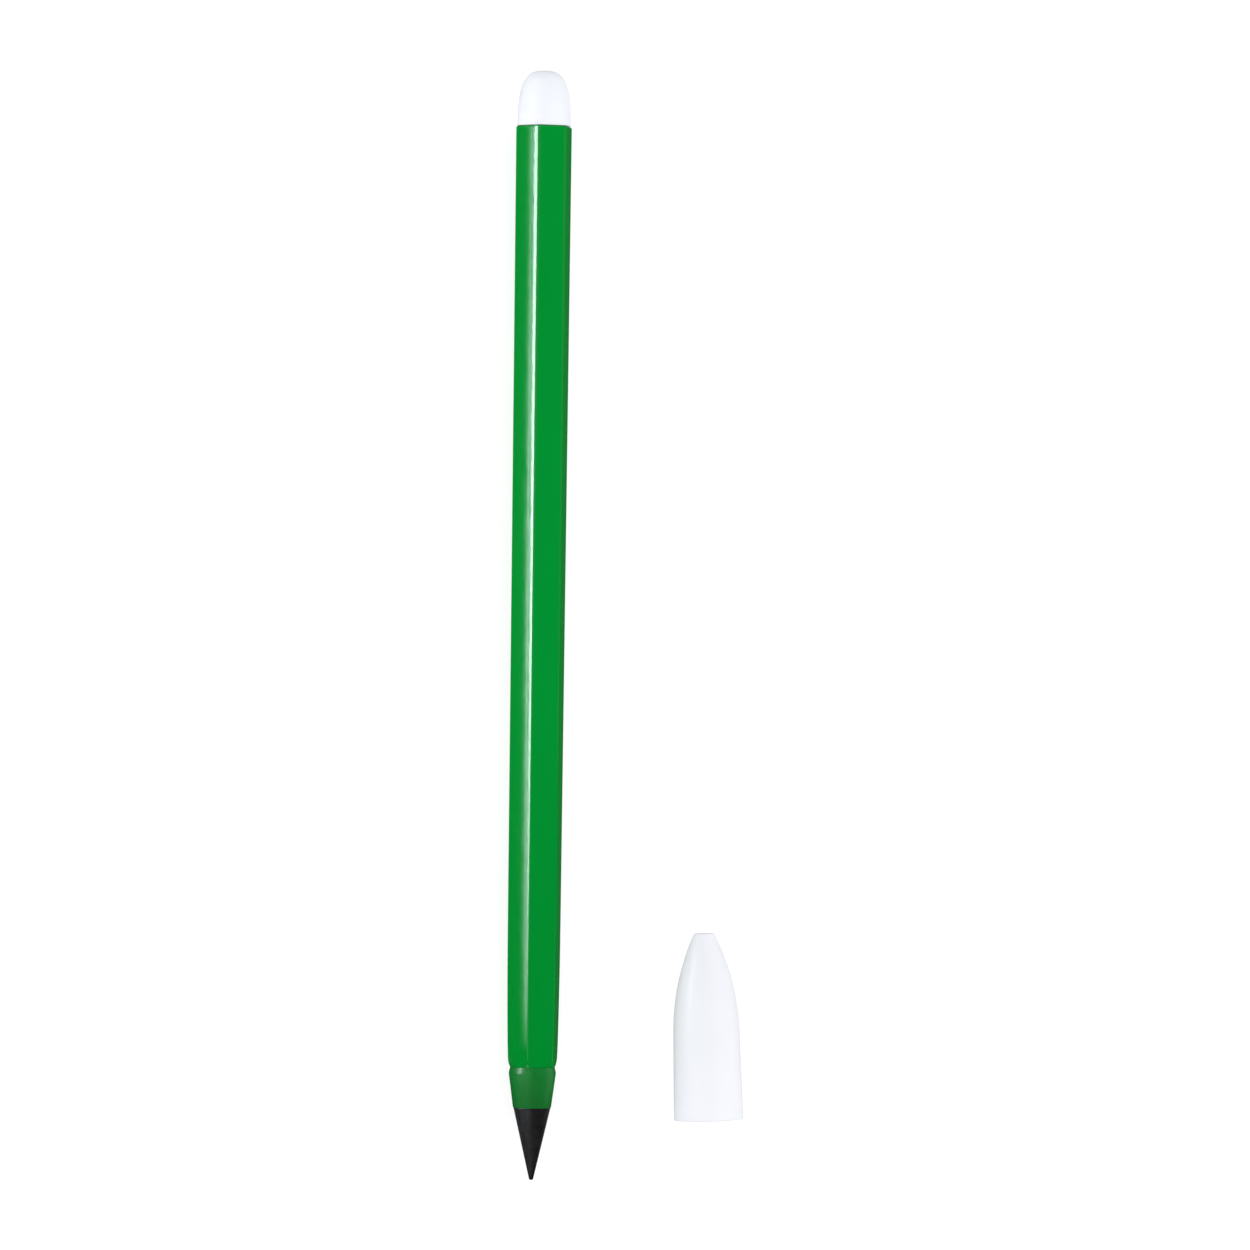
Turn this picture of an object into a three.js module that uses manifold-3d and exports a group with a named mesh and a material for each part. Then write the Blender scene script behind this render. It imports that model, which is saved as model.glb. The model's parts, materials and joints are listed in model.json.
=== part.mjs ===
// An inkless pen: a six-sided barrel, a screw-in head with a solid nib, an eraser plug and a cap.
// Millimetres, +Z up. The pen lies on one facet, along Y, with its nib towards -Y and its cap
// taken off beside it. The origin is on the resting facet, half way along the pen.
// A station is a distance along the pen's axis from the tip of the nib.

import * as THREE from 'three';
import { mergeVertices } from 'three/addons/utils/BufferGeometryUtils.js';
import Module from 'manifold-3d';

// Lengths along the axis
const nibLength = 11.3;
const collarLength = 6.3;
const barrelLength = 148.2;
const eraserLength = 8.7;
const seatGap = 0.15;

// Barrel, outside
const rearAcrossFlats = 8.2;
const frontAcrossFlats = 7.8;
const cornerRadius = 0.7;
const noseLength = 26;
const noseNarrowing = 0.46;
const noseCurve = 2.5;
const grooveDiameter = 7.1;
const grooveSlope = 0.42;
const rearEdgeBreak = 0.2;

// Barrel, inside
const frontBore = 5;
const rearBore = 5.6;
const bushRunout = 1.2;

// Screw thread between the collar and the barrel, right-handed
const threadPitch = 1;
const threadTurns = 5;
const threadMajor = 5.2;
const threadDepth = 0.5;
const threadRootWidth = 0.62;
const threadCrestWidth = 0.2;
const threadClearance = 0.12;
const threadLead = 0.8;
const threadSink = 0.1;
const threadPhase = 0.01;
const crestFadeTurns = 0.25;
const crestAtEnds = 0.1;
const grooveTurnsAhead = 2;
const grooveTurnsBeyond = 1.25;

// Collar
const collarShoulderDiameter = 7.46;
const collarShoulderLength = 0.75;
const collarEndDiameter = 6;
const collarEdgeBreak = 0.1;
const spigotCoreHole = 2.2;
const spigotChamfer = 0.25;

// Nib
const nibBaseDiameter = 5.86;
const nibTipRadius = 0.33;
const nibTipShare = 0.9;
const nibShankDiameter = 3.2;
const nibShankLength = 4.6;
const shankClearance = 0.12;
const shankChamfer = 0.3;

// Eraser
const eraserFootInset = 0.05;
const eraserCornerRadius = 1.2;
const eraserCurve = 3.4;
const eraserFullness = 3;
const eraserTaper = 0.05;
const eraserRoundFrom = 0.6;
const eraserMeanDirection = 20;
const eraserStemLength = 8;
const eraserStemClearance = 0.3;
const eraserBarbClearance = 0.1;
const eraserBarbs = 3;
const eraserBarbLength = 0.7;
const eraserBarbBack = 0.175;

// Cap
const capLength = 29.6;
const capWall = 1.2;
const capFit = 0.05;
const capTipRoom = 1;
const capDraftDegrees = 1.1;
const capNoseLength = 15.5;
const capEndDiameter = 3.2;
const capEndEdge = 0.15;
const capEndEdgeLength = 0.3;
const capRimEdge = 0.2;

// Where the cap lies: its mouth beside the nib, with its closed end turned towards the barrel
const capBeside = 29.2;
const capMouthPastTip = 9.25;
const capTurnDegrees = 1.87;

// Facets of the round and curved surfaces
const roundFacets = 36;
const threadFacets = 18;
const noseRings = 8;
const eraserRings = 10;
const capNoseRings = 9;
const tipRings = 4;
const cornerFacets = 2;

// How far a cutter runs past what it cuts
const overrun = 1;

// Corners closer together than this are one
const mergeWithin = 1e-4;

const degree = Math.PI / 180;
const collarEnd = nibLength + seatGap;
const collarBack = collarEnd + collarLength;
const barrelFront = collarBack + seatGap;
const barrelRear = barrelFront + barrelLength;
const eraserFoot = barrelRear + seatGap;
const penLength = eraserFoot + eraserLength;
const midStation = penLength / 2;
const noseStart = barrelFront + noseLength;
const spigotLength = threadLead * 2 + threadTurns * threadPitch;
const threadRoot = threadMajor / 2 - threadDepth;
const facetSlope = (rearAcrossFlats - frontAcrossFlats) / 2 / (barrelRear - noseStart);
const layAngle = Math.atan(facetSlope);

const wasm = await Module();
wasm.setup();

// A closed geometry as a solid for joining and cutting
function solidOf(geometry) {
  const bare = geometry.clone();
  bare.deleteAttribute('normal');
  bare.deleteAttribute('uv');
  const merged = mergeVertices(bare, mergeWithin);
  const corners = merged.index.array;
  const kept = [];
  for (let i = 0; i < corners.length; i += 3) {
    const [a, b, c] = [corners[i], corners[i + 1], corners[i + 2]];
    if (a !== b && b !== c && c !== a) kept.push(a, b, c);
  }
  return new wasm.Manifold(
    new wasm.Mesh({
      numProp: 3,
      vertProperties: merged.attributes.position.array,
      triVerts: new Uint32Array(kept),
    })
  );
}

function geometryOf(solid) {
  const mesh = solid.getMesh();
  const geometry = new THREE.BufferGeometry();
  geometry.setAttribute('position', new THREE.BufferAttribute(mesh.vertProperties, mesh.numProp));
  geometry.setIndex(new THREE.BufferAttribute(mesh.triVerts, 1));
  geometry.computeVertexNormals();
  return geometry;
}

// A turned form from [radius, station] pairs, in order from the low station up the outside
function turned(outline, facets = roundFacets) {
  const points = outline.map(([radius, station]) => new THREE.Vector2(radius, station));
  return new THREE.LatheGeometry(points, facets);
}

// A rounded hexagon pushed along the axis, with flats above and below
function sixSided(acrossFlats, radius, length, steps) {
  const cornerCentre = (acrossFlats / 2 - radius) / Math.cos(30 * degree);
  const outline = new THREE.Shape();
  for (let k = 0; k < 6; k += 1) {
    const middle = k * 60 * degree;
    const x = cornerCentre * Math.cos(middle);
    const y = cornerCentre * Math.sin(middle);
    outline.absarc(x, y, radius, middle - 30 * degree, middle + 30 * degree, false);
  }
  outline.closePath();
  const settings = { depth: length, steps, curveSegments: cornerFacets, bevelEnabled: false };
  return new THREE.ExtrudeGeometry(outline, settings).rotateX(-Math.PI / 2);
}

// Half the distance across the barrel's flats at a station
function barrelInradius(station) {
  const straight = frontAcrossFlats / 2 + facetSlope * (station - noseStart);
  const along = Math.max(0, noseStart - station) / noseLength;
  return straight - (noseNarrowing / 2) * along ** noseCurve;
}

function barrelCornerReach(station) {
  return (barrelInradius(station) - cornerRadius) / Math.cos(30 * degree) + cornerRadius;
}

// The barrel's outside: one ring of corners for each station, closer together along the nose.
// It starts a little early, and the turned envelope cuts its front end square.
function barrelBlank() {
  const rings = [{ station: barrelFront - overrun, inset: 0 }];
  for (let i = 0; i <= noseRings; i += 1) {
    rings.push({ station: barrelFront + (noseLength * i) / noseRings, inset: 0 });
  }
  rings.push({ station: barrelRear - rearEdgeBreak, inset: 0 });
  rings.push({ station: barrelRear, inset: rearEdgeBreak });
  const steps = rings.length - 1;
  const blank = sixSided(rearAcrossFlats, cornerRadius, steps, steps);
  const place = blank.attributes.position;
  for (let i = 0; i < place.count; i += 1) {
    const { station, inset } = rings[Math.round(place.getY(i))];
    const scale = (barrelInradius(station) - inset) / (rearAcrossFlats / 2);
    place.setXYZ(i, place.getX(i) * scale, station, place.getZ(i) * scale);
  }
  return blank;
}

// The turned chamfer that runs down to the groove at the barrel's front end
function barrelEnvelope() {
  const clear = rearAcrossFlats;
  const valley = grooveDiameter / 2;
  return turned([
    [0, barrelFront],
    [valley, barrelFront],
    [clear, barrelFront + (clear - valley) / grooveSlope],
    [clear, barrelRear + overrun],
    [0, barrelRear + overrun],
  ]);
}

// The thread's ridge: a straight bar of its section, wound round the axis as a right-hand helix.
// It is grown all round for the groove that it runs in, and its crest fades out over the first
// and last quarter turn.
function threadRidge(firstTurn, turns, grown) {
  const root = threadRoot + grown;
  const crest = threadMajor / 2 + grown;
  const inner = root - threadSink;
  const flank = (threadRootWidth - threadCrestWidth) / 2 / threadDepth;
  const crestHalf = threadCrestWidth / 2 + grown;
  const innerHalf = crestHalf + flank * (crest - inner);
  const section = new THREE.Shape([
    new THREE.Vector2(inner, -innerHalf),
    new THREE.Vector2(crest, -crestHalf),
    new THREE.Vector2(crest, crestHalf),
    new THREE.Vector2(inner, innerHalf),
  ]);
  const steps = Math.round(turns * threadFacets);
  const bar = new THREE.ExtrudeGeometry(section, { depth: turns, steps, bevelEnabled: false });
  const place = bar.attributes.position;
  for (let i = 0; i < place.count; i += 1) {
    const turn = place.getZ(i);
    const fade = Math.min(1, crestAtEnds + Math.min(turn, turns - turn) / crestFadeTurns);
    const radius = Math.min(place.getX(i), root + threadDepth * fade);
    const angle = (turn + threadPhase) * 2 * Math.PI;
    const station = barrelFront + threadLead + (firstTurn + turn) * threadPitch - place.getY(i);
    place.setXYZ(i, radius * Math.sin(angle), station, radius * Math.cos(angle));
  }
  return bar;
}

// The bore: a plain bush for the thread at the front, then one drafted hole to the rear
function barrelBore() {
  const bush = threadRoot + threadClearance;
  const bushEnd = barrelFront + spigotLength + bushRunout;
  const step = frontBore / 2 - bush;
  return turned([
    [0, barrelFront - overrun],
    [bush, barrelFront - overrun],
    [bush, bushEnd],
    [frontBore / 2, bushEnd + step],
    [rearBore / 2, barrelRear - eraserStemLength],
    [rearBore / 2, barrelRear + overrun],
    [0, barrelRear + overrun],
  ], threadFacets);
}

function makeBarrel() {
  const grooveTurns = grooveTurnsAhead + threadTurns + grooveTurnsBeyond;
  const groove = threadRidge(-grooveTurnsAhead, grooveTurns, threadClearance);
  const solid = solidOf(barrelBlank())
    .intersect(solidOf(barrelEnvelope()))
    .subtract(solidOf(barrelBore()))
    .subtract(solidOf(groove));
  return geometryOf(solid);
}

// The cone behind the nib, with a socket for the nib's shank and a hollow spigot for the thread
function makeCollar() {
  const shoulder = collarShoulderDiameter / 2;
  const end = collarEndDiameter / 2;
  const socket = nibShankDiameter / 2 + shankClearance;
  const socketEnd = collarEnd + nibShankLength;
  const hole = spigotCoreHole / 2;
  const spigotEnd = barrelFront + spigotLength;
  const body = turned([
    [socket, collarEnd],
    [end - collarEdgeBreak, collarEnd],
    [end, collarEnd + collarEdgeBreak],
    [shoulder, collarBack - collarShoulderLength],
    [grooveDiameter / 2, collarBack],
    [threadRoot, collarBack],
    [threadRoot, spigotEnd - spigotChamfer],
    [threadRoot - spigotChamfer, spigotEnd],
    [hole, spigotEnd],
    [hole, socketEnd],
    [socket, socketEnd],
    [socket, collarEnd],
  ]);
  return geometryOf(solidOf(body).add(solidOf(threadRidge(0, threadTurns, 0))));
}

// The writing cone, with a rounded tip that runs smoothly into it, and its shank
function makeNib() {
  const base = nibBaseDiameter / 2;
  const halfAngle = Math.atan((base - nibTipRadius * nibTipShare) / nibLength);
  const outline = [];
  for (let i = 0; i <= tipRings; i += 1) {
    const angle = ((90 * degree - halfAngle) * i) / tipRings;
    outline.push([nibTipRadius * Math.sin(angle), nibTipRadius * (1 - Math.cos(angle))]);
  }
  const shank = nibShankDiameter / 2;
  const shankEnd = nibLength + nibShankLength;
  outline.push([base, nibLength]);
  outline.push([shank, nibLength]);
  outline.push([shank, shankEnd - shankChamfer]);
  outline.push([shank - shankChamfer, shankEnd]);
  outline.push([0, shankEnd]);
  return turned(outline);
}

// Distance from the axis to a rounded hexagon's edge, in a direction from one of its corners
function sixSidedReach(direction, inradius, radius) {
  const sixth = 60 * degree;
  const away = Math.abs(direction - sixth * Math.round(direction / sixth));
  const centre = (inradius - radius) / Math.cos(30 * degree);
  const arcEnd = Math.atan2(radius / 2, centre + radius * Math.cos(30 * degree));
  if (away > arcEnd) return inradius / Math.cos(30 * degree - away);
  return centre * Math.cos(away) + Math.sqrt(radius ** 2 - (centre * Math.sin(away)) ** 2);
}

// The dome starts as a soft hexagon flush with the barrel and turns round on the way up
function eraserDome() {
  const foot = rearAcrossFlats / 2 - eraserFootInset;
  const mean = sixSidedReach(eraserMeanDirection * degree, foot, eraserCornerRadius);
  const outline = [[0, eraserFoot]];
  for (let i = 0; i <= eraserRings; i += 1) {
    const height = Math.sin((i / eraserRings) * 90 * degree);
    const round = (1 - height ** eraserCurve) ** (1 / eraserFullness);
    outline.push([mean * (1 - eraserTaper * height) * round, eraserFoot + height * eraserLength]);
  }
  const dome = turned(outline);
  const place = dome.attributes.position;
  for (let i = 0; i < place.count; i += 1) {
    const direction = Math.atan2(place.getZ(i), place.getX(i));
    const height = (place.getY(i) - eraserFoot) / eraserLength;
    const sixSidedShare = Math.max(0, 1 - height / eraserRoundFrom);
    const reach = sixSidedReach(direction, foot, eraserCornerRadius) / mean;
    const scale = 1 + (reach - 1) * sixSidedShare;
    place.setXYZ(i, place.getX(i) * scale, place.getY(i), place.getZ(i) * scale);
  }
  return dome;
}

// The stem that plugs into the barrel, with ring barbs that grip its bore
function eraserStem() {
  const barb = rearBore / 2 - eraserBarbClearance;
  const neck = rearBore / 2 - eraserStemClearance;
  const spacing = eraserStemLength / (eraserBarbs + 1);
  const stemEnd = eraserFoot - eraserStemLength;
  const outline = [[0, stemEnd], [neck - eraserStemClearance, stemEnd]];
  for (let k = 1; k <= eraserBarbs; k += 1) {
    const station = stemEnd + spacing * k;
    outline.push([neck, station - eraserBarbLength]);
    outline.push([barb, station]);
    outline.push([neck, station + eraserBarbBack]);
  }
  outline.push([neck, eraserFoot + seatGap]);
  outline.push([0, eraserFoot + seatGap]);
  return turned(outline, threadFacets);
}

function makeEraser() {
  return geometryOf(solidOf(eraserDome()).add(solidOf(eraserStem())));
}

// When the cap is on, its mouth reaches this station, and its bore just clears the corners there
const capSeat = capLength - capWall - capTipRoom;
const capMouthRadius = barrelCornerReach(capSeat) + capFit + capWall;
const capDraft = Math.tan(capDraftDegrees * degree);

// Outer radius of the cap at a distance from its closed end: a drafted tube with an ogive nose
function capRadius(fromEnd) {
  const tube = capMouthRadius - capDraft * (capLength - fromEnd);
  if (fromEnd >= capNoseLength) return tube;
  const drop = capMouthRadius - capDraft * capLength - capEndDiameter / 2;
  const sweep = (capNoseLength ** 2 + drop ** 2) / (2 * drop);
  const back = capNoseLength - fromEnd;
  return tube - (sweep - Math.sqrt(sweep ** 2 - back ** 2));
}

// The cap as a turned cup, with its mouth at station 0 and its closed end up
function makeCap() {
  const outside = [];
  const inside = [];
  const floor = capWall;
  for (let i = 0; i <= capNoseRings; i += 1) {
    const outer = (capNoseLength * i) / capNoseRings;
    outside.push([capRadius(outer), capLength - outer]);
    const inner = floor + ((capNoseLength - floor) * i) / capNoseRings;
    inside.push([capRadius(inner) - capWall, capLength - inner]);
  }
  outside[0] = [capEndDiameter / 2 - capEndEdge, capLength];
  outside.splice(1, 0, [capRadius(capEndEdgeLength), capLength - capEndEdgeLength]);
  const rim = capMouthRadius;
  const bore = capMouthRadius - capWall;
  return turned([
    [0, capLength - floor],
    ...inside,
    [bore, capRimEdge],
    [bore + capRimEdge, 0],
    [rim - capRimEdge, 0],
    [rim, capRimEdge],
    ...outside.reverse(),
    [0, capLength],
  ]);
}

// Finishes, by the colours in the photograph
const greenGloss = { color: 0x048c33, roughness: 0.25, metalness: 0 };
const greenTranslucent = { color: 0x0a7a2c, roughness: 0.3, metalness: 0 };
const graphite = { color: 0x1d1d1f, roughness: 0.5, metalness: 0.1 };
const whiteRubber = { color: 0xf3f3f8, roughness: 0.6, metalness: 0 };
const whiteGloss = { color: 0xeef1fa, roughness: 0.2, metalness: 0 };

function piece(name, geometry, finish) {
  const mesh = new THREE.Mesh(geometry, new THREE.MeshStandardMaterial(finish));
  mesh.name = name;
  return mesh;
}

// The pen's pieces share one axis, laid so that the lowest facet is level on the ground
const axis = new THREE.Group();
axis.position.set(0, -midStation, barrelInradius(midStation));
axis.add(piece('barrel', makeBarrel(), greenGloss));
axis.add(piece('nose_collar', makeCollar(), greenTranslucent));
axis.add(piece('nib', makeNib(), graphite));
axis.add(piece('eraser', makeEraser(), whiteRubber));

const pen = new THREE.Group();
pen.rotation.x = layAngle;
pen.add(axis);

// The cap lies on its drafted side, so its axis dips towards the closed end
const cap = piece('cap', makeCap(), whiteGloss);
cap.rotation.x = -capDraftDegrees * degree;

const capPlace = new THREE.Group();
capPlace.rotation.z = capTurnDegrees * degree;
const rimDrop = Math.sin(capDraftDegrees * degree) * capRimEdge;
capPlace.position.set(
  capBeside,
  capMouthPastTip - midStation,
  capMouthRadius * Math.cos(capDraftDegrees * degree) + rimDrop
);
capPlace.add(cap);

const group = new THREE.Group();
group.add(pen);
group.add(capPlace);

export default group;
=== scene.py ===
import bmesh
import bpy
import json
import math
from mathutils import Matrix, Vector


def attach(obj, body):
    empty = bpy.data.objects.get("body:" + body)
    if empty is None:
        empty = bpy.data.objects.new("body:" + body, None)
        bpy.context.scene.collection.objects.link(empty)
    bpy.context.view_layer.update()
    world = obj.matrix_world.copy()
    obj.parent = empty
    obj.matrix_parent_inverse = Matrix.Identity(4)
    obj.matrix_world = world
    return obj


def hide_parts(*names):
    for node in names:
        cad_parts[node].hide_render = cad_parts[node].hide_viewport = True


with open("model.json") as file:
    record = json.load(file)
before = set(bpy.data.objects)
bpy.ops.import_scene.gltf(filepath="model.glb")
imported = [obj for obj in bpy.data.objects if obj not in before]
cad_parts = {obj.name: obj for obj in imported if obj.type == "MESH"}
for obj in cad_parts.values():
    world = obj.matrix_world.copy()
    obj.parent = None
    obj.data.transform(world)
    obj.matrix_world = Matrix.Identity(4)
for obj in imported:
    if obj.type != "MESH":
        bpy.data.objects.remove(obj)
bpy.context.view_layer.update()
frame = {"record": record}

# Pieces are shaped in millimetres round the Y axis, with the nib's tip at 0, then laid in place
millimetre = 0.001
weldWithin = 0.0005          # millimetres
turnedFacets = 96            # round the small turned pieces
halfSector = 30              # degrees from the middle of a six-sided piece's flat to its corner
pen = {
    "length": 174.95,
    "frontFlats": 7.8,       # across the flats where the nose starts
    "rearFlats": 8.2,        # across the flats at the rear end
    "noseStart": 43.9,
    "rearEnd": 166.14,
}

facetSlope = (pen["rearFlats"] - pen["frontFlats"]) / 2 / (pen["rearEnd"] - pen["noseStart"])
midway = pen["length"] / 2
axisHeight = pen["frontFlats"] / 2 + facetSlope * (midway - pen["noseStart"])
penPlace = (
    Matrix.Rotation(math.atan(facetSlope), 4, "X")
    @ Matrix.Translation((0, -midway * millimetre, axisHeight * millimetre))
    @ Matrix.Scale(millimetre, 4)
)


# A loose outline of straight edges from (radius, station, rounding) corners, ready to spin
def drawOutline(bm, corners, segments=4):
    points = [bm.verts.new((0, station, radius)) for radius, station, rounding in corners]
    for first, second in zip(points, points[1:]):
        bm.edges.new((first, second))
    for amount in sorted({rounding for radius, station, rounding in corners if rounding}):
        chosen = [p for p, c in zip(points, corners) if c[2] == amount]
        bmesh.ops.bevel(
            bm, geom=chosen, offset=amount, offset_type="OFFSET", segments=segments,
            profile=0.5, affect="VERTICES", material=-1,
        )


# Spins everything drawn so far a full turn round the axis
def spinRound(bm, facets):
    bmesh.ops.spin(
        bm, geom=bm.verts[:] + bm.edges[:], cent=(0, 0, 0), axis=(0, 1, 0),
        angle=2 * math.pi, steps=facets, use_merge=True,
    )
    bmesh.ops.remove_doubles(bm, verts=bm.verts[:], dist=weldWithin)
    bmesh.ops.recalc_face_normals(bm, faces=bm.faces[:])


# Both threads are right-handed
thread = {
    "pitch": 1,
    "facets": 36,            # in each turn
    "runOut": 0.25,          # turns over which the ridge rises and falls away
    "leastShare": 0.02,      # of its height, where it starts and ends
    "crestWithin": 0.01,     # millimetres
}


# A helical ridge from a foot radius, sunk in the wall, to a crest radius. Its section is drawn at
# the start and spun along the axis.
def windRidge(bm, piece, foot, crest, start):
    pitch, facets, turns = thread["pitch"], thread["facets"], piece["ridgeTurns"]
    footHalf, crestHalf = piece["ridgeFootHalf"], piece["ridgeCrestHalf"]
    section = [(foot, -footHalf), (crest, -crestHalf), (crest, crestHalf), (foot, footHalf)]
    points = [bm.verts.new((0, start + station, radius)) for radius, station in section]
    face = bm.faces.new(points)
    before = set(bm.verts) - set(points)
    steps = round(turns * facets)
    bmesh.ops.rotate(
        bm, verts=points, cent=(0, 0, 0),
        matrix=Matrix.Rotation(2 * math.pi * (start / pitch % 1), 3, "Y"),
    )
    bmesh.ops.spin(
        bm, geom=[face] + list(face.edges) + points, cent=(0, 0, 0), axis=(0, 1, 0),
        dvec=(0, pitch / facets, 0), angle=2 * math.pi * turns, steps=steps, use_merge=False,
    )
    ridge = [v for v in bm.verts if v not in before]
    for corner in ridge:
        radius = math.hypot(corner.co.x, corner.co.z)
        turn = (corner.co.y - start) / pitch
        share = min(1, max(thread["leastShare"], min(turn, turns - turn) / thread["runOut"]))
        if abs(radius - crest) < thread["crestWithin"]:
            radius = foot + (crest - foot) * share
            bmesh.ops.scale(
                bm, verts=[corner], vec=(radius / crest, 1, radius / crest),
            )
    bmesh.ops.recalc_face_normals(bm, faces=[f for f in bm.faces if f.verts[0] in set(ridge)])


# A six-sided ring of edges round the axis, with rounded corners. Its flats fall away a little
# towards the corners: by a share of the radius all the way, and by another near the corners.
def sixSidedRing(bm, acrossFlats, cornerRadius, crown, cornerFall, cuts, segments):
    sector = math.radians(halfSector)
    upright = Matrix.Rotation(math.radians(90), 4, "X") @ Matrix.Rotation(sector, 4, "Z")
    reach = acrossFlats / 2 / math.cos(sector)
    made = bmesh.ops.create_circle(
        bm, cap_ends=False, radius=reach, segments=6, matrix=upright,
    )
    bmesh.ops.bevel(
        bm, geom=made["verts"], offset=cornerRadius * math.tan(sector),
        offset_type="OFFSET", segments=segments, profile=0.5, affect="VERTICES", material=-1,
    )
    flats = [edge for edge in bm.edges if edge.calc_length() > acrossFlats / 4]
    bmesh.ops.subdivide_edges(bm, edges=flats, cuts=cuts)
    for corner in bm.verts:
        direction = math.degrees(math.atan2(corner.co.z, corner.co.x)) % (2 * halfSector)
        aside = (direction - halfSector) / halfSector
        kept = 1 - crown * aside ** 2 - cornerFall * aside ** 8
        corner.co.x *= kept
        corner.co.z *= kept
    return bm.edges[:]


# Extrudes a ring of edges and gives the new ring and its corners
def extrudeRing(bm, ring):
    made = bmesh.ops.extrude_edge_only(bm, edges=ring)["geom"]
    corners = {item for item in made if isinstance(item, bmesh.types.BMVert)}
    edges = [
        item for item in made
        if isinstance(item, bmesh.types.BMEdge) and set(item.verts) <= corners
    ]
    return edges, list(corners)


# The next ring along a six-sided form, scaled from the last one
def sixSidedStep(bm, ring, factor, advance):
    edges, corners = extrudeRing(bm, ring)
    bmesh.ops.scale(bm, verts=corners, vec=(factor, 1, factor))
    bmesh.ops.translate(bm, verts=corners, vec=(0, advance, 0))
    return edges


# The next ring as a true circle at a station
def roundStep(bm, ring, radius, station):
    edges, corners = extrudeRing(bm, ring)
    for corner in corners:
        factor = radius / math.hypot(corner.co.x, corner.co.z)
        corner.co = (corner.co.x * factor, station, corner.co.z * factor)
    return edges


# Turns a finished bmesh into a shaded piece that rides on its body in place of the CAD node
def finishPiece(bm, name, place, material, node, sharpAbove=28):
    bmesh.ops.transform(bm, matrix=place, verts=bm.verts[:])
    bm.normal_update()
    for face in bm.faces:
        face.smooth = True
    for edge in bm.edges:
        if len(edge.link_faces) == 2 and edge.calc_face_angle() > math.radians(sharpAbove):
            edge.smooth = False
    mesh = bpy.data.meshes.new(name)
    bm.to_mesh(mesh)
    bm.free()
    mesh.materials.append(material)
    piece = bpy.data.objects.new(name, mesh)
    bpy.context.scene.collection.objects.link(piece)
    body = next(b for b, nodes in frame["record"]["behaviour"]["bodies"].items() if node in nodes)
    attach(piece, body)
    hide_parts(node)


# Materials read object coordinates in millimetres. A noise in a piece's values is written as spots
# per millimetre in X, Y and Z, then detail and roughness. Bump depths are in millimetres.
def startMaterial(name):
    material = bpy.data.materials.new(name)
    material.use_nodes = True
    tree = material.node_tree
    place = tree.nodes.new("ShaderNodeTexCoord")
    return material, tree, tree.nodes["Principled BSDF"], place.outputs["Object"]


def scaledPlace(tree, place, perMillimetre, shift=(0, 0, 0)):
    mapping = tree.nodes.new("ShaderNodeMapping")
    mapping.inputs["Scale"].default_value = [1000 * amount for amount in perMillimetre]
    mapping.inputs["Location"].default_value = shift
    tree.links.new(place, mapping.inputs["Vector"])
    return mapping.outputs["Vector"]


# Millimetres from the nib's tip along the pen
def stationOf(tree, place):
    split = tree.nodes.new("ShaderNodeSeparateXYZ")
    tree.links.new(scaledPlace(tree, place, (1, 1, 1), (0, midway, 0)), split.inputs["Vector"])
    return split.outputs["Y"]


# Millimetres from the pen's axis
def reachOf(tree, place):
    length = tree.nodes.new("ShaderNodeVectorMath")
    length.operation = "LENGTH"
    tree.links.new(scaledPlace(tree, place, (1, 0, 1), (0, 0, -axisHeight)), length.inputs[0])
    return length.outputs["Value"]


def mathOf(tree, operation, first, second):
    node = tree.nodes.new("ShaderNodeMath")
    node.operation = operation
    tree.links.new(first, node.inputs[0])
    tree.links.new(second, node.inputs[1])
    return node.outputs["Value"]


def noiseOf(tree, place, perMillimetre, detail=2, rough=0.5):
    noise = tree.nodes.new("ShaderNodeTexNoise")
    noise.inputs["Scale"].default_value = 1
    noise.inputs["Detail"].default_value = detail
    noise.inputs["Roughness"].default_value = rough
    tree.links.new(scaledPlace(tree, place, perMillimetre), noise.inputs["Vector"])
    return noise.outputs["Fac"]


def spreadOf(tree, value, low, high, fromLow=0.3, fromHigh=0.7):
    spread = tree.nodes.new("ShaderNodeMapRange")
    spread.inputs["From Min"].default_value = fromLow
    spread.inputs["From Max"].default_value = fromHigh
    spread.inputs["To Min"].default_value = low
    spread.inputs["To Max"].default_value = high
    tree.links.new(value, spread.inputs["Value"])
    return spread.outputs["Result"]


def blendOf(tree, share, first, second):
    mix = tree.nodes.new("ShaderNodeMix")
    mix.data_type = "RGBA"
    tree.links.new(share, mix.inputs["Factor"])
    for colour, socket in ((first, mix.inputs[6]), (second, mix.inputs[7])):
        if isinstance(colour, tuple):
            socket.default_value = (*colour, 1)
        else:
            tree.links.new(colour, socket)
    return mix.outputs[2]


def bumpOf(tree, height, depth, under=None):
    bump = tree.nodes.new("ShaderNodeBump")
    bump.inputs["Distance"].default_value = depth * millimetre
    bump.inputs["Strength"].default_value = 1
    tree.links.new(height, bump.inputs["Height"])
    if under:
        tree.links.new(under, bump.inputs["Normal"])
    return bump.outputs["Normal"]


# The faint glow of a thick white piece
def letLightIn(shader, piece):
    shader.inputs["Subsurface Weight"].default_value = piece["throughLight"]
    shader.inputs["Subsurface Radius"].default_value = piece["throughReach"]
    shader.inputs["Subsurface Scale"].default_value = piece["throughScale"]


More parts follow.
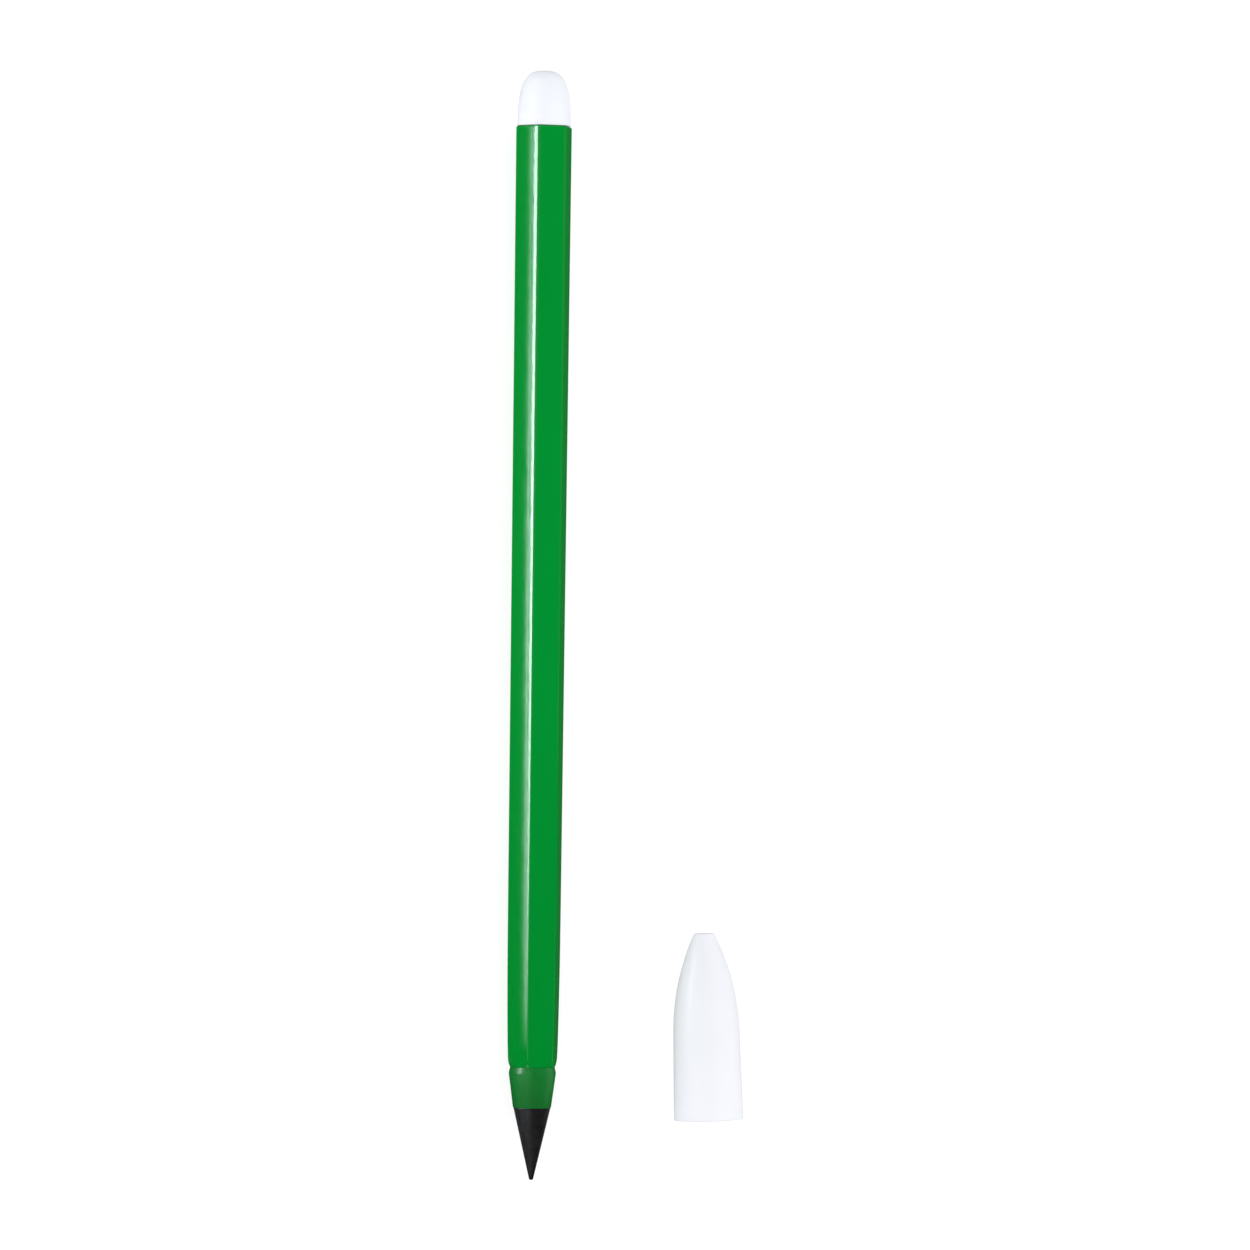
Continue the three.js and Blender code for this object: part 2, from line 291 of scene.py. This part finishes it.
# Barrel
barrel = {
    "front": 17.88,
    "cornerRadius": 0.28,
    "crown": 0.012,          # how far the flats fall away, as a share of the radius
    "cornerFall": 0.005,
    "narrowing": 0.23,       # what the nose loses of its half width
    "noseCurve": 2.5,
    "noseSteps": 17,
    "facetCuts": 23,
    "cornerSegments": 6,
    "endSpan": 4,            # short spans at both ends of the long facets
    "sharpAbove": 17,        # degrees
    "grooveRadius": 3.55,
    "grooveSlope": 0.42,
    "edgeRound": 0.05,
    "rearEdge": 0.2,
    "threadMouth": 0.2,
    "threadRadius": 2.72,
    "crestRadius": 2.22,
    "threadEnd": 7.05,       # this and the next from the front end
    "bushEnd": 7.8,
    "threadStep": 0.15,
    "boreStep": 0.28,
    "boreRadius": 2.5,
    "rearBore": 2.8,
    "rearBoreLength": 8,
    "rearMouth": 0.15,
    "ridgeStart": 0.8,       # from the front end
    "ridgeTurns": 5.75,
    "ridgeSunk": 0.15,
    "ridgeFootHalf": 0.34,
    "ridgeCrestHalf": 0.07,
    "green": (0.0003, 0.276, 0.031),
    "deepGreen": (0.0002, 0.264, 0.029),
    "greenTowardsNose": (0.0002, 0.24, 0.026),
    "towardsNoseFrom": 20,     # stations between which the green darkens towards the nose
    "towardsNoseTo": 80,
    "smoothest": 0.07,
    "roughest": 0.1,
    "specular": 0.35,
    "creaseFrom": 1.11,      # reach from the axis, as a share of the half width
    "creaseTo": 1.12,
    "onCrease": 0.3,         # roughness where the creases are rubbed
    "pitsFrom": 1.05,
    "pitsTo": 1.1,
    "pitDepth": 0.014,
    "waveDepth": 0.006,
    "lineDepth": 0.0008,
    "drift": ((0.12, 0.03, 0.12), 3),
    "rub": ((0.8, 0.3, 0.8), 4, 0.6),
    "sink": ((0.4, 0.4, 0.4), 3),
    "hairline": ((6, 0.5, 6), 4, 0.6),
    "pits": ((3, 2, 3), 3, 0.6),
}


def barrelHalfWidth(station):
    straight = pen["frontFlats"] / 2 + facetSlope * (station - pen["noseStart"])
    along = max(0, pen["noseStart"] - station) / (pen["noseStart"] - barrel["front"])
    return straight - barrel["narrowing"] * along ** barrel["noseCurve"]


def barrelMaterial():
    material, tree, shader, place = startMaterial("greenMouldedPlastic")
    drift = noiseOf(tree, place, *barrel["drift"])
    tone = blendOf(tree, spreadOf(tree, drift, 0, 1), barrel["green"], barrel["deepGreen"])
    forward = spreadOf(
        tree, stationOf(tree, place), 1, 0, barrel["towardsNoseFrom"], barrel["towardsNoseTo"],
    )
    # The green is made darker towards the nose, over the stations given above
    tone = blendOf(tree, forward, tone, barrel["greenTowardsNose"])
    tree.links.new(tone, shader.inputs["Base Color"])
    rub = noiseOf(tree, place, *barrel["rub"])
    rubbed = spreadOf(tree, rub, barrel["smoothest"], barrel["roughest"])
    halfWidth = spreadOf(
        tree, stationOf(tree, place), pen["frontFlats"] / 2, pen["rearFlats"] / 2,
        pen["noseStart"], pen["rearEnd"],
    )
    reach = mathOf(tree, "DIVIDE", reachOf(tree, place), halfWidth)
    onCrease = spreadOf(
        tree, reach, 0, barrel["onCrease"], barrel["creaseFrom"], barrel["creaseTo"],
    )
    worn = mathOf(tree, "MAXIMUM", rubbed, onCrease)
    tree.links.new(worn, shader.inputs["Roughness"])
    shader.inputs["Specular IOR Level"].default_value = barrel["specular"]
    sink = noiseOf(tree, place, *barrel["sink"])
    hairline = noiseOf(tree, place, *barrel["hairline"])
    waves = bumpOf(tree, sink, barrel["waveDepth"])
    lines = bumpOf(tree, hairline, barrel["lineDepth"], waves)
    nearCrease = spreadOf(tree, reach, 0, 1, barrel["pitsFrom"], barrel["pitsTo"])
    pits = mathOf(tree, "MULTIPLY", noiseOf(tree, place, *barrel["pits"]), nearCrease)
    tree.links.new(bumpOf(tree, pits, barrel["pitDepth"], lines), shader.inputs["Normal"])
    return material


# A ring where the six-sided nose meets the groove's cone, which leaves a scallop on each flat
def scallopStep(bm, ring, factor, inward, advance):
    edges, corners = extrudeRing(bm, ring)
    for corner in corners:
        reach = math.hypot(corner.co.x, corner.co.z)
        wanted = reach * factor - inward
        corner.co.x *= wanted / reach
        corner.co.z *= wanted / reach
        climb = (wanted - barrel["grooveRadius"]) / barrel["grooveSlope"]
        corner.co.y = barrel["front"] + climb + advance
    return edges


def makeBarrel():
    bm = bmesh.new()
    rear = pen["rearEnd"]
    ring = sixSidedRing(
        bm, pen["rearFlats"], barrel["cornerRadius"], barrel["crown"], barrel["cornerFall"],
        barrel["facetCuts"], barrel["cornerSegments"],
    )
    shoulder = 1 - barrel["rearEdge"] / (pen["rearFlats"] / 2)
    bmesh.ops.translate(bm, verts=bm.verts[:], vec=(0, rear, 0))
    bmesh.ops.scale(bm, verts=bm.verts[:], vec=(shoulder, 1, shoulder))
    rearFace = ring
    ring = sixSidedStep(bm, ring, 1 / shoulder, -barrel["rearEdge"])
    here = rear - barrel["rearEdge"]
    stations = [rear - barrel["endSpan"], pen["noseStart"] + barrel["endSpan"]]
    noseSpan = pen["noseStart"] - barrel["front"]
    for i in range(barrel["noseSteps"] - 1):
        stations.append(pen["noseStart"] - noseSpan * i / barrel["noseSteps"])
    for station in stations:
        factor = barrelHalfWidth(station) / barrelHalfWidth(here)
        ring = sixSidedStep(bm, ring, factor, station - here)
        here = station
    factor = barrelHalfWidth(barrel["front"]) / barrelHalfWidth(here)
    edgeRound, inward = barrel["edgeRound"], barrel["edgeRound"] * barrel["grooveSlope"]
    ring = scallopStep(bm, ring, factor, 0, edgeRound)
    ring = scallopStep(bm, ring, 1, inward, 0)
    front, mouth, rearMouth = barrel["front"], barrel["threadMouth"], barrel["rearMouth"]
    threadEnd, bushEnd = front + barrel["threadEnd"], front + barrel["bushEnd"]
    for radius, station in (
        (barrel["grooveRadius"] + inward, front + edgeRound),
        (barrel["grooveRadius"] - edgeRound, front),
        (barrel["threadRadius"] + mouth, front),
        (barrel["threadRadius"], front + mouth),
        (barrel["threadRadius"], threadEnd),
        (barrel["crestRadius"], threadEnd + barrel["threadStep"]),
        (barrel["crestRadius"], bushEnd),
        (barrel["boreRadius"], bushEnd + barrel["boreStep"]),
        (barrel["rearBore"], rear - barrel["rearBoreLength"]),
        (barrel["rearBore"], rear - rearMouth),
        (barrel["rearBore"] + rearMouth, rear),
    ):
        ring = roundStep(bm, ring, radius, station)
    bmesh.ops.bridge_loops(bm, edges=ring + rearFace)
    bmesh.ops.recalc_face_normals(bm, faces=bm.faces[:])
    foot = barrel["threadRadius"] + barrel["ridgeSunk"]
    windRidge(bm, barrel, foot, barrel["crestRadius"], front + barrel["ridgeStart"])
    finishPiece(
        bm, "sixSidedBarrel", penPlace, barrelMaterial(), "barrel",
        barrel["sharpAbove"],
    )


# Collar
collar = {
    "front": 11.43,
    "back": 17.87,
    "shoulderRadius": 3.73,
    "shoulderLength": 0.95,
    "frontRadius": 3,
    "backRadius": 3.5,
    "frontRound": 0.1,
    "shoulderRound": 0.2,
    "backRound": 0.05,
    "threadRoot": 2.1,
    "threadCrest": 2.6,
    "ridgeStart": 18.7,
    "ridgeTurns": 5,
    "ridgeSunk": 0.1,
    "ridgeFootHalf": 0.35,
    "ridgeCrestHalf": 0.1,
    "spigotEnd": 24.5,
    "spigotChamfer": 0.25,
    "coreHole": 1.1,
    "socketRadius": 1.72,
    "socketLength": 4.6,
    "green": (0.0006, 0.27, 0.03),
    "lightGreen": (0.001, 0.32, 0.04),
    "shankGreen": (0.0008, 0.23, 0.026),
    "overShankFrom": 12.5,   # stations between which the shank's shade ends
    "overShankTo": 16.5,
    "throughLight": 0.4,
    "refraction": 1.5,
    "specular": 0.1,
    "smoothest": 0.31,
    "roughest": 0.42,
    "sinkDepth": 0.02,
    "cloud": ((0.45, 0.3, 0.45), 3, 0.55),
    "rub": ((1.2, 1.2, 1.2), 4, 0.6),
    "sink": ((0.5, 0.5, 0.5), 2),
}


def collarMaterial():
    material, tree, shader, place = startMaterial("seeThroughGreenPlastic")
    cloud = noiseOf(tree, place, *collar["cloud"])
    tone = blendOf(tree, spreadOf(tree, cloud, 0, 1), collar["green"], collar["lightGreen"])
    overShank = spreadOf(
        tree, stationOf(tree, place), 1, 0, collar["overShankFrom"], collar["overShankTo"],
    )
    tone = blendOf(tree, overShank, tone, collar["shankGreen"])
    tree.links.new(tone, shader.inputs["Base Color"])
    rub = noiseOf(tree, place, *collar["rub"])
    rubbed = spreadOf(tree, rub, collar["smoothest"], collar["roughest"])
    tree.links.new(rubbed, shader.inputs["Roughness"])
    sink = noiseOf(tree, place, *collar["sink"])
    tree.links.new(bumpOf(tree, sink, collar["sinkDepth"]), shader.inputs["Normal"])
    shader.inputs["Transmission Weight"].default_value = collar["throughLight"]
    shader.inputs["Specular IOR Level"].default_value = collar["specular"]
    shader.inputs["IOR"].default_value = collar["refraction"]
    return material


def makeCollar():
    bm = bmesh.new()
    front, back = collar["front"], collar["back"]
    end, chamfer = collar["spigotEnd"], collar["spigotChamfer"]
    socketEnd = front + collar["socketLength"]
    drawOutline(bm, [
        (collar["socketRadius"], front, 0),
        (collar["frontRadius"], front, collar["frontRound"]),
        (collar["shoulderRadius"], back - collar["shoulderLength"], collar["shoulderRound"]),
        (collar["backRadius"], back, collar["backRound"]),
        (collar["threadRoot"], back, 0),
        (collar["threadRoot"], end - chamfer, 0),
        (collar["threadRoot"] - chamfer, end, 0),
        (collar["coreHole"], end, 0),
        (collar["coreHole"], socketEnd, 0),
        (collar["socketRadius"], socketEnd, 0),
        (collar["socketRadius"], front, 0),
    ])
    spinRound(bm, turnedFacets)
    foot = collar["threadRoot"] - collar["ridgeSunk"]
    windRidge(bm, collar, foot, collar["threadCrest"], collar["ridgeStart"])
    finishPiece(
        bm, "threadedCollar", penPlace, collarMaterial(), "nose_collar",
    )


# Nib
nib = {
    "baseRadius": 2.93,
    "length": 11.42,
    "tipRadius": 0.3,
    "tipRound": 0.22,
    "baseRound": 0.06,
    "shankRadius": 1.6,
    "shankEnd": 15.9,
    "shankChamfer": 0.3,
    "black": (0.008, 0.008, 0.009),
    "grey": (0.018, 0.018, 0.02),
    "smoothest": 0.3,
    "roughest": 0.42,
    "sheen": 0.3,
    "sheenRoughness": 0.3,
    "metallic": 0.15,
    "greyFrom": 0.38,        # of the mottle's noise
    "greyTo": 0.66,
    "markDepth": 0.004,
    "grainDepth": 0.012,
    "mottle": ((1.1, 0.8, 1.1), 6, 0.7),
    "patches": ((0.9, 0.45, 0.9), 4, 0.6),
    "grain": ((7, 7, 7), 5, 0.7),
    "turning": ((0.6, 9, 0.6), 2),
}


def nibMaterial():
    material, tree, shader, place = startMaterial("pressedGraphite")
    mottle = noiseOf(tree, place, *nib["mottle"])
    mottled = spreadOf(tree, mottle, 0, 1, nib["greyFrom"], nib["greyTo"])
    tone = blendOf(tree, mottled, nib["black"], nib["grey"])
    tree.links.new(tone, shader.inputs["Base Color"])
    patches = noiseOf(tree, place, *nib["patches"])
    satin = spreadOf(tree, patches, nib["smoothest"], nib["roughest"])
    tree.links.new(satin, shader.inputs["Roughness"])
    grain = noiseOf(tree, place, *nib["grain"])
    turning = noiseOf(tree, place, *nib["turning"])
    marks = bumpOf(tree, turning, nib["markDepth"])
    tree.links.new(bumpOf(tree, grain, nib["grainDepth"], marks), shader.inputs["Normal"])
    shader.inputs["Metallic"].default_value = nib["metallic"]
    shader.inputs["Sheen Weight"].default_value = nib["sheen"]
    shader.inputs["Sheen Roughness"].default_value = nib["sheenRoughness"]
    return material


def makeNib():
    bm = bmesh.new()
    chamfer = nib["shankChamfer"]
    drawOutline(bm, [
        (0, 0, 0),
        (nib["tipRadius"], 0, nib["tipRound"]),
        (nib["baseRadius"], nib["length"], nib["baseRound"]),
        (nib["shankRadius"], nib["length"], 0),
        (nib["shankRadius"], nib["shankEnd"] - chamfer, 0),
        (nib["shankRadius"] - chamfer, nib["shankEnd"], 0),
        (0, nib["shankEnd"], 0),
    ])
    spinRound(bm, turnedFacets)
    finishPiece(bm, "graphiteNib", penPlace, nibMaterial(), "nib")


# Eraser
eraser = {
    "foot": 166.2,
    "height": 8.75,
    "halfWidth": 4.05,
    "cornerRadius": 1.8,
    "meanReach": 4.25,
    "curve": 3.4,
    "fullness": 3,
    "taper": 0.05,
    "roundFrom": 0.5,        # share of the height above which the dome is round
    "steps": 28,
    "facetCuts": 5,
    "cornerSegments": 8,
    "stemLength": 8,
    "stemNeck": 2.5,
    "stemChamfer": 0.3,
    "barbs": 3,
    "barbRadius": 2.7,
    "barbSpacing": 2,
    "barbBack": 0.175,
    "barbRamp": 0.7,
    "white": (0.895, 0.915, 0.99),
    "offWhite": (0.87, 0.89, 0.97),
    "smoothest": 0.47,
    "roughest": 0.65,
    "specular": 0.12,
    "throughLight": 0.3,
    "throughReach": (1, 0.9, 0.9),
    "throughScale": 0.0008,  # metres
    "dentDepth": 0.02,
    "grainDepth": 0.006,
    "cloud": ((0.3, 0.3, 0.3), 4, 0.6),
    "bloom": ((0.8, 0.8, 0.8), 4, 0.6),
    "grain": ((10, 10, 10), 4, 0.7),
    "dents": ((0.7, 0.7, 0.7), 2),
}


def eraserMaterial():
    material, tree, shader, place = startMaterial("whiteRubber")
    cloud = noiseOf(tree, place, *eraser["cloud"])
    tone = blendOf(tree, spreadOf(tree, cloud, 0, 1), eraser["white"], eraser["offWhite"])
    tree.links.new(tone, shader.inputs["Base Color"])
    bloom = noiseOf(tree, place, *eraser["bloom"])
    dull = spreadOf(tree, bloom, eraser["smoothest"], eraser["roughest"])
    tree.links.new(dull, shader.inputs["Roughness"])
    shader.inputs["Specular IOR Level"].default_value = eraser["specular"]
    grain = noiseOf(tree, place, *eraser["grain"])
    dents = bumpOf(tree, noiseOf(tree, place, *eraser["dents"]), eraser["dentDepth"])
    tree.links.new(bumpOf(tree, grain, eraser["grainDepth"], dents), shader.inputs["Normal"])
    letLightIn(shader, eraser)
    return material


def makeEraser():
    bm = bmesh.new()
    foot, height = eraser["foot"], eraser["height"]
    ring = sixSidedRing(
        bm, eraser["halfWidth"] * 2, eraser["cornerRadius"], 0, 0, eraser["facetCuts"],
        eraser["cornerSegments"],
    )
    bmesh.ops.translate(bm, verts=bm.verts[:], vec=(0, foot, 0))
    footRing = ring
    outline = {v: (v.co.x, v.co.z) for v in bm.verts}
    for i in range(eraser["steps"]):
        share = math.sin(math.radians(90) * (i + 1) / eraser["steps"])
        size = 1 - eraser["taper"] * share
        size *= (1 - min(1, share) ** eraser["curve"]) ** (1 / eraser["fullness"])
        edges, corners = extrudeRing(bm, ring)
        sixSided = max(0, 1 - share / eraser["roundFrom"])
        for corner in corners:
            below = next(e.other_vert(corner) for e in corner.link_edges if e not in edges)
            x, z = outline[below]
            outline[corner] = (x, z)
            reach = math.hypot(x, z)
            wanted = size * (eraser["meanReach"] + (reach - eraser["meanReach"]) * sixSided)
            corner.co = (x / reach * wanted, foot + height * share, z / reach * wanted)
        ring = edges
    ring = footRing
    neck, barb, gap = eraser["stemNeck"], eraser["barbRadius"], eraser["barbSpacing"]
    stemEnd = foot - eraser["stemLength"]
    ring = roundStep(bm, ring, neck, foot)
    for k in range(eraser["barbs"]):
        tip = stemEnd + gap * (eraser["barbs"] - k)
        ring = roundStep(bm, ring, neck, tip + eraser["barbBack"])
        ring = roundStep(bm, ring, barb, tip)
        ring = roundStep(bm, ring, neck, tip - eraser["barbRamp"])
    ring = roundStep(bm, ring, neck - eraser["stemChamfer"], stemEnd)
    bmesh.ops.contextual_create(bm, geom=ring)
    bmesh.ops.remove_doubles(bm, verts=bm.verts[:], dist=weldWithin)
    bmesh.ops.recalc_face_normals(bm, faces=bm.faces[:])
    finishPiece(bm, "eraserPlug", penPlace, eraserMaterial(), "eraser")


# Cap
cap = {
    "length": 29.6,
    "mouthRadius": 5.53,
    "wall": 1.2,
    "draft": 1.1,            # degrees
    "noseLength": 15.5,
    "endRadius": 1.6,
    "endRound": 0.18,
    "rimRound": 0.2,
    "noseSteps": 24,
    "facets": 128,
    "beside": 29.2,          # from the pen's axis to the middle of the mouth
    "mouthStation": 9.25,
    "turn": 1.87,            # degrees
    "white": (0.885, 0.9, 0.985),
    "shade": (0.865, 0.885, 0.975),
    "smoothest": 0.34,
    "roughest": 0.44,
    "specular": 0.12,
    "throughLight": 0.5,
    "throughReach": (0.9, 0.95, 1),
    "throughScale": 0.002,   # metres
    "waveDepth": 0.03,
    "lineDepth": 0.0015,
    "drift": ((0.15, 0.08, 0.15), 3),
    "rub": ((1.4, 0.2, 1.4), 5, 0.65),
    "sink": ((0.4, 0.12, 0.4), 2),
    "hairline": ((8, 0.4, 8), 4, 0.6),
}


def capOuter(fromEnd):
    fall = math.tan(math.radians(cap["draft"]))
    tube = cap["mouthRadius"] - fall * (cap["length"] - fromEnd)
    if fromEnd >= cap["noseLength"]:
        return tube
    drop = cap["mouthRadius"] - fall * cap["length"] - cap["endRadius"]
    sweep = (cap["noseLength"] ** 2 + drop ** 2) / (2 * drop)
    back = cap["noseLength"] - fromEnd
    return tube - (sweep - math.sqrt(sweep ** 2 - back ** 2))


def capMaterial():
    material, tree, shader, place = startMaterial("whiteMouldedPlastic")
    drift = noiseOf(tree, place, *cap["drift"])
    tone = blendOf(tree, spreadOf(tree, drift, 0, 1), cap["white"], cap["shade"])
    tree.links.new(tone, shader.inputs["Base Color"])
    rub = noiseOf(tree, place, *cap["rub"])
    rubbed = spreadOf(tree, rub, cap["smoothest"], cap["roughest"])
    tree.links.new(rubbed, shader.inputs["Roughness"])
    sink = noiseOf(tree, place, *cap["sink"])
    hairline = noiseOf(tree, place, *cap["hairline"])
    waves = bumpOf(tree, sink, cap["waveDepth"])
    tree.links.new(bumpOf(tree, hairline, cap["lineDepth"], waves), shader.inputs["Normal"])
    letLightIn(shader, cap)
    shader.inputs["Specular IOR Level"].default_value = cap["specular"]
    return material


def makeCap():
    bm = bmesh.new()
    length, wall = cap["length"], cap["wall"]
    steps = cap["noseSteps"]
    outside = [(capOuter(0), length, cap["endRound"])]
    inside = [(0, length - wall, 0)]
    for i in range(1, steps + 1):
        outer = cap["noseLength"] * i / steps
        inner = wall + (cap["noseLength"] - wall) * i / steps
        outside.append((capOuter(outer), length - outer, 0))
        inside.append((capOuter(inner) - wall, length - inner, 0))
    rim, bore = cap["mouthRadius"], cap["mouthRadius"] - wall
    mouth = [(bore, 0, cap["rimRound"]), (rim, 0, cap["rimRound"])]
    drawOutline(bm, inside + mouth + outside[::-1] + [(0, length, 0)])
    spinRound(bm, cap["facets"])
    draft, turn = math.radians(cap["draft"]), math.radians(cap["turn"])
    height = cap["mouthRadius"] * math.cos(draft) + cap["rimRound"] * math.sin(draft)
    spot = Vector((cap["beside"], cap["mouthStation"] - midway, height)) * millimetre
    place = (
        Matrix.Translation(spot)
        @ Matrix.Rotation(turn, 4, "Z")
        @ Matrix.Rotation(-draft, 4, "X")
        @ Matrix.Scale(millimetre, 4)
    )
    finishPiece(bm, "bulletCap", place, capMaterial(), "cap")


# Stage: a pale floor that is white to the camera, dark in reflections and plain through clear
# pieces, and keeps the shadow
stage = {
    "floorSize": 6,
    "floorTone": 0.88,
    "floorInGloss": 0.035,
    "floorInView": 0.3,
    "whiteToCamera": 0.8,
    "floorRoughness": 0.06,
    "ambient": 0.86,
}


def makeFloor():
    bm = bmesh.new()
    bmesh.ops.create_grid(bm, x_segments=1, y_segments=1, size=stage["floorSize"] / 2)
    mesh = bpy.data.meshes.new("paleFloor")
    bm.to_mesh(mesh)
    bm.free()
    floor = bpy.data.objects.new("paleFloor", mesh)
    bpy.context.scene.collection.objects.link(floor)
    material, tree, shader, place = startMaterial("paleFloor")
    path = tree.nodes.new("ShaderNodeLightPath")
    plain, dim, seen = [(stage[key],) * 3 for key in ("floorTone", "floorInGloss", "floorInView")]
    mirrored = blendOf(tree, path.outputs["Is Glossy Ray"], plain, dim)
    unseen = blendOf(tree, path.outputs["Is Transmission Ray"], mirrored, plain)
    tree.links.new(
        blendOf(tree, path.outputs["Is Camera Ray"], unseen, seen), shader.inputs["Base Color"],
    )
    shader.inputs["Roughness"].default_value = stage["floorRoughness"]
    shine = tree.nodes.new("ShaderNodeEmission")
    tree.links.new(
        spreadOf(tree, path.outputs["Is Camera Ray"], 0, stage["whiteToCamera"], 0, 1),
        shine.inputs["Strength"],
    )
    both = tree.nodes.new("ShaderNodeAddShader")
    tree.links.new(shader.outputs["BSDF"], both.inputs[0])
    tree.links.new(shine.outputs["Emission"], both.inputs[1])
    tree.links.new(both.outputs["Shader"], tree.nodes["Material Output"].inputs["Surface"])
    mesh.materials.append(material)


def makeWorld():
    world = bpy.data.worlds.new("studio")
    bpy.context.scene.world = world
    world.use_nodes = True
    tree = world.node_tree
    path = tree.nodes.new("ShaderNodeLightPath")
    background = tree.nodes["Background"]
    background.inputs["Color"].default_value = (1, 1, 1, 1)
    tree.links.new(
        spreadOf(tree, path.outputs["Is Camera Ray"], stage["ambient"], 1, 0, 1),
        background.inputs["Strength"],
    )
    world.cycles_visibility.glossy = False


# Lamps, in watts and metres, each facing the given point or the pen's middle. The fills show in no
# reflection, and the strips show in reflections alone.
lamps = {
    "keySoftbox": {"power": 1.6, "size": (0.9, 0.58), "spot": (-0.67, 0, 0.6)},
    "leftFill": {"power": 0.78, "size": (0.6, 0.4), "spot": (-0.77, 0, 0.21)},
    "rightFill": {"power": 2.1, "size": (0.6, 0.4), "spot": (0.77, 0, 0.21)},
    "lowStrip": {
        "power": 4.7,
        "size": (0.345, 0.052),
        "spot": (-0.45, 0.0675, 0.036),
        "facing": (0, 0.0675, 0.036),
        "tint": (0.86, 0.97, 1),
        "fadeFrom": 0.62,        # share of its length at which it starts to fade
        "fadeTo": 0.05,          # strength at its end
        "topFrom": 0.52,         # share of its height at which it starts to fade to nothing
    },
    "frontStrip": {"power": 0.3, "size": (0.5, 0.16), "spot": (-0.1, -0.5, 0.2)},
}


def makeSoftbox(name):
    values = lamps[name]
    light = bpy.data.lights.new(name, "AREA")
    light.shape = "RECTANGLE"
    light.size, light.size_y = values["size"]
    light.energy = values["power"]
    lamp = bpy.data.objects.new(name, light)
    lamp.location = values["spot"]
    away = Vector(values["spot"]) - Vector(values.get("facing", (0, 0, 0)))
    lamp.rotation_euler = away.to_track_quat("Z", "Y").to_euler()
    bpy.context.scene.collection.objects.link(lamp)
    return lamp


def tintAndFade(lamp, values):
    lamp.data.color = values["tint"]
    lamp.data.use_nodes = True
    tree = lamp.data.node_tree
    spot = tree.nodes.new("ShaderNodeNewGeometry")
    split = tree.nodes.new("ShaderNodeSeparateXYZ")
    tree.links.new(spot.outputs["Parametric"], split.inputs["Vector"])
    along = spreadOf(tree, split.outputs["X"], 1, values["fadeTo"], values["fadeFrom"], 1)
    across = spreadOf(tree, split.outputs["Y"], 1, 0, values["topFrom"], 1)
    tree.links.new(
        mathOf(tree, "MULTIPLY", along, across), tree.nodes["Emission"].inputs["Strength"],
    )


def makeLights():
    made = {name: makeSoftbox(name) for name in lamps}
    for name in ("leftFill", "rightFill"):
        made[name].visible_glossy = False
    for name in ("lowStrip", "frontStrip"):
        made[name].visible_diffuse = False
        made[name].visible_transmission = False
    tintAndFade(made["lowStrip"], lamps["lowStrip"])


# Camera
view = {
    "target": (12.9, 0.22, 8.68),
    "distance": 1104,
    "leanOver": 20,          # degrees from straight down, towards the pen's left
    "roll": 0.684,
    "lens": 201.6,
    "sensorWidth": 36,
    "clipStart": 0.01,       # this and the next in metres
    "clipEnd": 20,
}


def makeCamera():
    camera = bpy.data.cameras.new("photoCamera")
    camera.lens = view["lens"]
    camera.sensor_width = view["sensorWidth"]
    camera.clip_start = view["clipStart"]
    camera.clip_end = view["clipEnd"]
    eye = bpy.data.objects.new("photoCamera", camera)
    lean = math.radians(view["leanOver"])
    roll = math.radians(view["roll"])
    back = Vector((-math.sin(lean), 0, math.cos(lean)))
    level = Vector((math.cos(lean), 0, math.sin(lean)))
    along = Vector((0, 1, 0))
    right = level * math.cos(roll) + along * math.sin(roll)
    up = along * math.cos(roll) - level * math.sin(roll)
    spot = Vector(view["target"]) * millimetre + back * view["distance"] * millimetre
    eye.matrix_world = Matrix((
        (right.x, up.x, back.x, spot.x),
        (right.y, up.y, back.y, spot.y),
        (right.z, up.z, back.z, spot.z),
        (0, 0, 0, 1),
    ))
    bpy.context.scene.collection.objects.link(eye)
    bpy.context.scene.camera = eye


bpy.context.scene.view_settings.view_transform = "Standard"
makeCamera()
print("camera set")
makeWorld()
makeFloor()
makeLights()
print("floor and lights set")
makeBarrel()
print("barrel made")
makeCollar()
print("collar made")
makeNib()
print("nib made")
makeEraser()
print("eraser made")
makeCap()
print("cap made")
